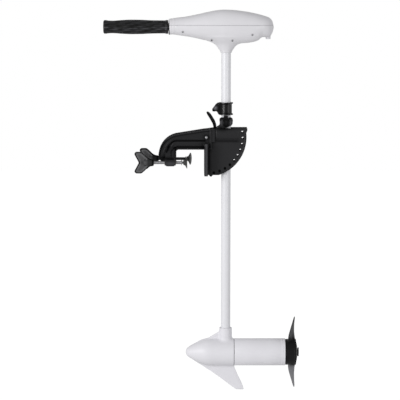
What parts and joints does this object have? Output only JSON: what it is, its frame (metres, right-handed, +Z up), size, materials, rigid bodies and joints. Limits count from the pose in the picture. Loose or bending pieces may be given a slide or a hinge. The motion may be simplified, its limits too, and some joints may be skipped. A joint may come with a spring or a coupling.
{
  "type": "transom mount trolling motor",
  "caption": "Electric trolling motor with a transom clamp bracket, tilting and sliding shaft, twist-grip tiller head and a submerged motor with skeg and propeller.",
  "frame": {"origin": "centre of the bracket's vertical transom face, level with the two clamp screws", "axes": "+X aft, away from the boat, +Z up along the shaft, +Y across, so the transom face looks along -X"},
  "size_m": [0.59, 0.1488, 1.1578],
  "materials": {
    "moulded_black": "satin",
    "pad_grey": "satin",
    "grip_rubber": "satin",
    "seal_rubber": "matt",
    "head_white": "satin",
    "shaft_white": "gloss",
    "motor_white": "satin",
    "propeller_black": "satin",
    "stainless": "satin",
    "insert_brass": "satin",
    "nylon_natural": "satin",
    "tube_grey": "satin",
    "switch_black": "matt",
    "copper": "satin",
    "core_steel": "matt",
    "carbon": "matt",
    "lead_jacket": "satin"
  },
  "bodies": {
    "bracket": {"clamp_bracket": "moulded_black", "pivot_bolt": "stainless", "pivot_nut": "stainless", "pivot_washers": "stainless", "screw_inserts": "insert_brass"},
    "clamp_slide_near": {"pad_ring_near": "stainless"},
    "clamp_pad_near": {"clamp_pad_near": "pad_grey"},
    "clamp_screw_near": {"clamp_screw_near": "stainless", "clamp_knob_near": "moulded_black"},
    "clamp_slide_far": {"pad_ring_far": "stainless"},
    "clamp_pad_far": {"clamp_pad_far": "pad_grey"},
    "clamp_screw_far": {"clamp_screw_far": "stainless", "clamp_knob_far": "moulded_black"},
    "hinge": {"hinge_block": "moulded_black", "hinge_bushing_upper": "nylon_natural", "hinge_bushing_lower": "nylon_natural", "lever_pin": "stainless"},
    "release_lever": {"tilt_release_lever": "moulded_black"},
    "pull_rod": {"lock_pull_rod": "stainless"},
    "lock_pin_near": {"lock_pin_near": "stainless"},
    "lock_pin_far": {"lock_pin_far": "stainless"},
    "brake_shoe": {"steering_brake_shoe": "nylon_natural"},
    "tension_knob": {"steering_tension_knob": "moulded_black", "tension_stud": "stainless"},
    "collar": {"depth_collar": "moulded_black"},
    "thumb_screw": {"depth_thumb_screw": "moulded_black"},
    "motor_unit": {"shaft_tube": "shaft_white", "head_upper_shell": "head_white", "head_lower_shell": "head_white", "head_screws": "stainless", "handle_neck_ring": "head_white", "cable_gland": "seal_rubber", "speed_switch": "switch_black", "motor_leads": "lead_jacket", "nose_housing": "motor_white", "motor_tube": "motor_white", "end_bell": "motor_white", "through_bolts": "stainless", "housing_seals": "seal_rubber", "front_bearing": "insert_brass", "rear_bearing": "insert_brass", "shaft_seal": "seal_rubber", "magnet_upper": "core_steel", "magnet_lower": "core_steel", "brush_plate": "switch_black", "brushes": "carbon"},
    "twist_handle": {"handle_twist_tube": "tube_grey", "switch_rotor": "switch_black"},
    "grip": {"handle_slide_tube": "tube_grey", "twist_grip": "grip_rubber", "grip_plug": "nylon_natural"},
    "rotor": {"armature_axle": "stainless", "armature_stack": "core_steel", "armature_windings": "copper", "commutator": "copper", "drive_pin": "stainless", "propeller": "propeller_black", "propeller_nut": "stainless"}
  },
  "joints": [
    {"name": "tilt", "type": "hinge", "parent": "bracket", "child": "hinge", "pos_m": [0.0062, 0, 0.073], "axis": [0, -1, 0], "range_deg": [0, 86.4]},
    {"name": "steer", "type": "hinge", "parent": "hinge", "child": "collar", "pos_m": [0.06535, 0, 0.15], "axis": [0, 0, 1], "range_deg": [-170, 170]},
    {"name": "depth", "type": "slide", "parent": "collar", "child": "motor_unit", "axis": [0, 0, 1], "range_m": [-0.145, 0.42]},
    {"name": "twist_speed", "type": "hinge", "parent": "motor_unit", "child": "twist_handle", "pos_m": [-0.1, 0, 0.4005], "axis": [1, 0, 0], "range_deg": [-67.5, 112.5]},
    {"name": "handle_extend", "type": "slide", "parent": "twist_handle", "child": "grip", "axis": [-1, 0, 0], "range_m": [0, 0.15]},
    {"name": "propeller_spin", "type": "hinge", "parent": "motor_unit", "child": "rotor", "pos_m": [0.2, 0, -0.5875], "axis": [1, 0, 0], "continuous": true},
    {"name": "release_lever_swing", "type": "hinge", "parent": "hinge", "child": "release_lever", "pos_m": [0.0315, 0, 0.09], "axis": [0, -1, 0], "range_deg": [0, 20]},
    {"name": "pull_rod_slide", "type": "slide", "parent": "hinge", "child": "pull_rod", "axis": [0, 0, -1], "range_m": [0, 0.002]},
    {"name": "lock_pin_near_slide", "type": "slide", "parent": "hinge", "child": "lock_pin_near", "axis": [0, -1, 0], "range_m": [0, 0.0063]},
    {"name": "lock_pin_far_slide", "type": "slide", "parent": "hinge", "child": "lock_pin_far", "axis": [0, 1, 0], "range_m": [0, 0.0063]},
    {"name": "brake_shoe_slide", "type": "slide", "parent": "hinge", "child": "brake_shoe", "axis": [0, -1, 0], "range_m": [0, 0.0012]},
    {"name": "tension_knob_turn", "type": "hinge", "parent": "brake_shoe", "child": "tension_knob", "pos_m": [0.06535, -0.04, 0.118], "axis": [0, -1, 0], "range_deg": [-2, 347.6]},
    {"name": "thumb_screw_turn", "type": "hinge", "parent": "collar", "child": "thumb_screw", "pos_m": [0.03, 0, 0.1565], "axis": [-1, 0, 0], "range_deg": [0, 360]},
    {"name": "clamp_near_travel", "type": "slide", "parent": "bracket", "child": "clamp_slide_near", "axis": [1, 0, 0], "range_m": [-0.015, 0.016]},
    {"name": "clamp_near_turn", "type": "hinge", "parent": "clamp_slide_near", "child": "clamp_screw_near", "pos_m": [-0.1, -0.056, 0], "axis": [1, 0, 0], "range_deg": [-3406.6, 3633.3]},
    {"name": "clamp_near_pad_swivel", "type": "hinge", "parent": "clamp_slide_near", "child": "clamp_pad_near", "pos_m": [-0.057, -0.056, 0], "axis": [0, 1, 0], "range_deg": [-5, 5]},
    {"name": "clamp_far_travel", "type": "slide", "parent": "bracket", "child": "clamp_slide_far", "axis": [1, 0, 0], "range_m": [-0.026, 0.0045]},
    {"name": "clamp_far_turn", "type": "hinge", "parent": "clamp_slide_far", "child": "clamp_screw_far", "pos_m": [-0.1, 0.056, 0], "axis": [1, 0, 0], "range_deg": [-5901.1, 1025.5]},
    {"name": "clamp_far_pad_swivel", "type": "hinge", "parent": "clamp_slide_far", "child": "clamp_pad_far", "pos_m": [-0.0453, 0.056, 0], "axis": [0, 1, 0], "range_deg": [-5, 5]}
  ],
  "couplings": [
    {"joint": "pull_rod_slide", "follows": "release_lever_swing", "m_per_rad": 0.0057238},
    {"joint": "lock_pin_near_slide", "follows": "release_lever_swing", "m_per_rad": 0.01803},
    {"joint": "lock_pin_far_slide", "follows": "release_lever_swing", "m_per_rad": 0.01803},
    {"joint": "tension_knob_turn", "follows": "brake_shoe_slide", "rad_per_m": 5026.5},
    {"joint": "clamp_near_turn", "follows": "clamp_near_travel", "rad_per_m": 3957.9},
    {"joint": "clamp_far_turn", "follows": "clamp_far_travel", "rad_per_m": 3957.9}
  ]
}
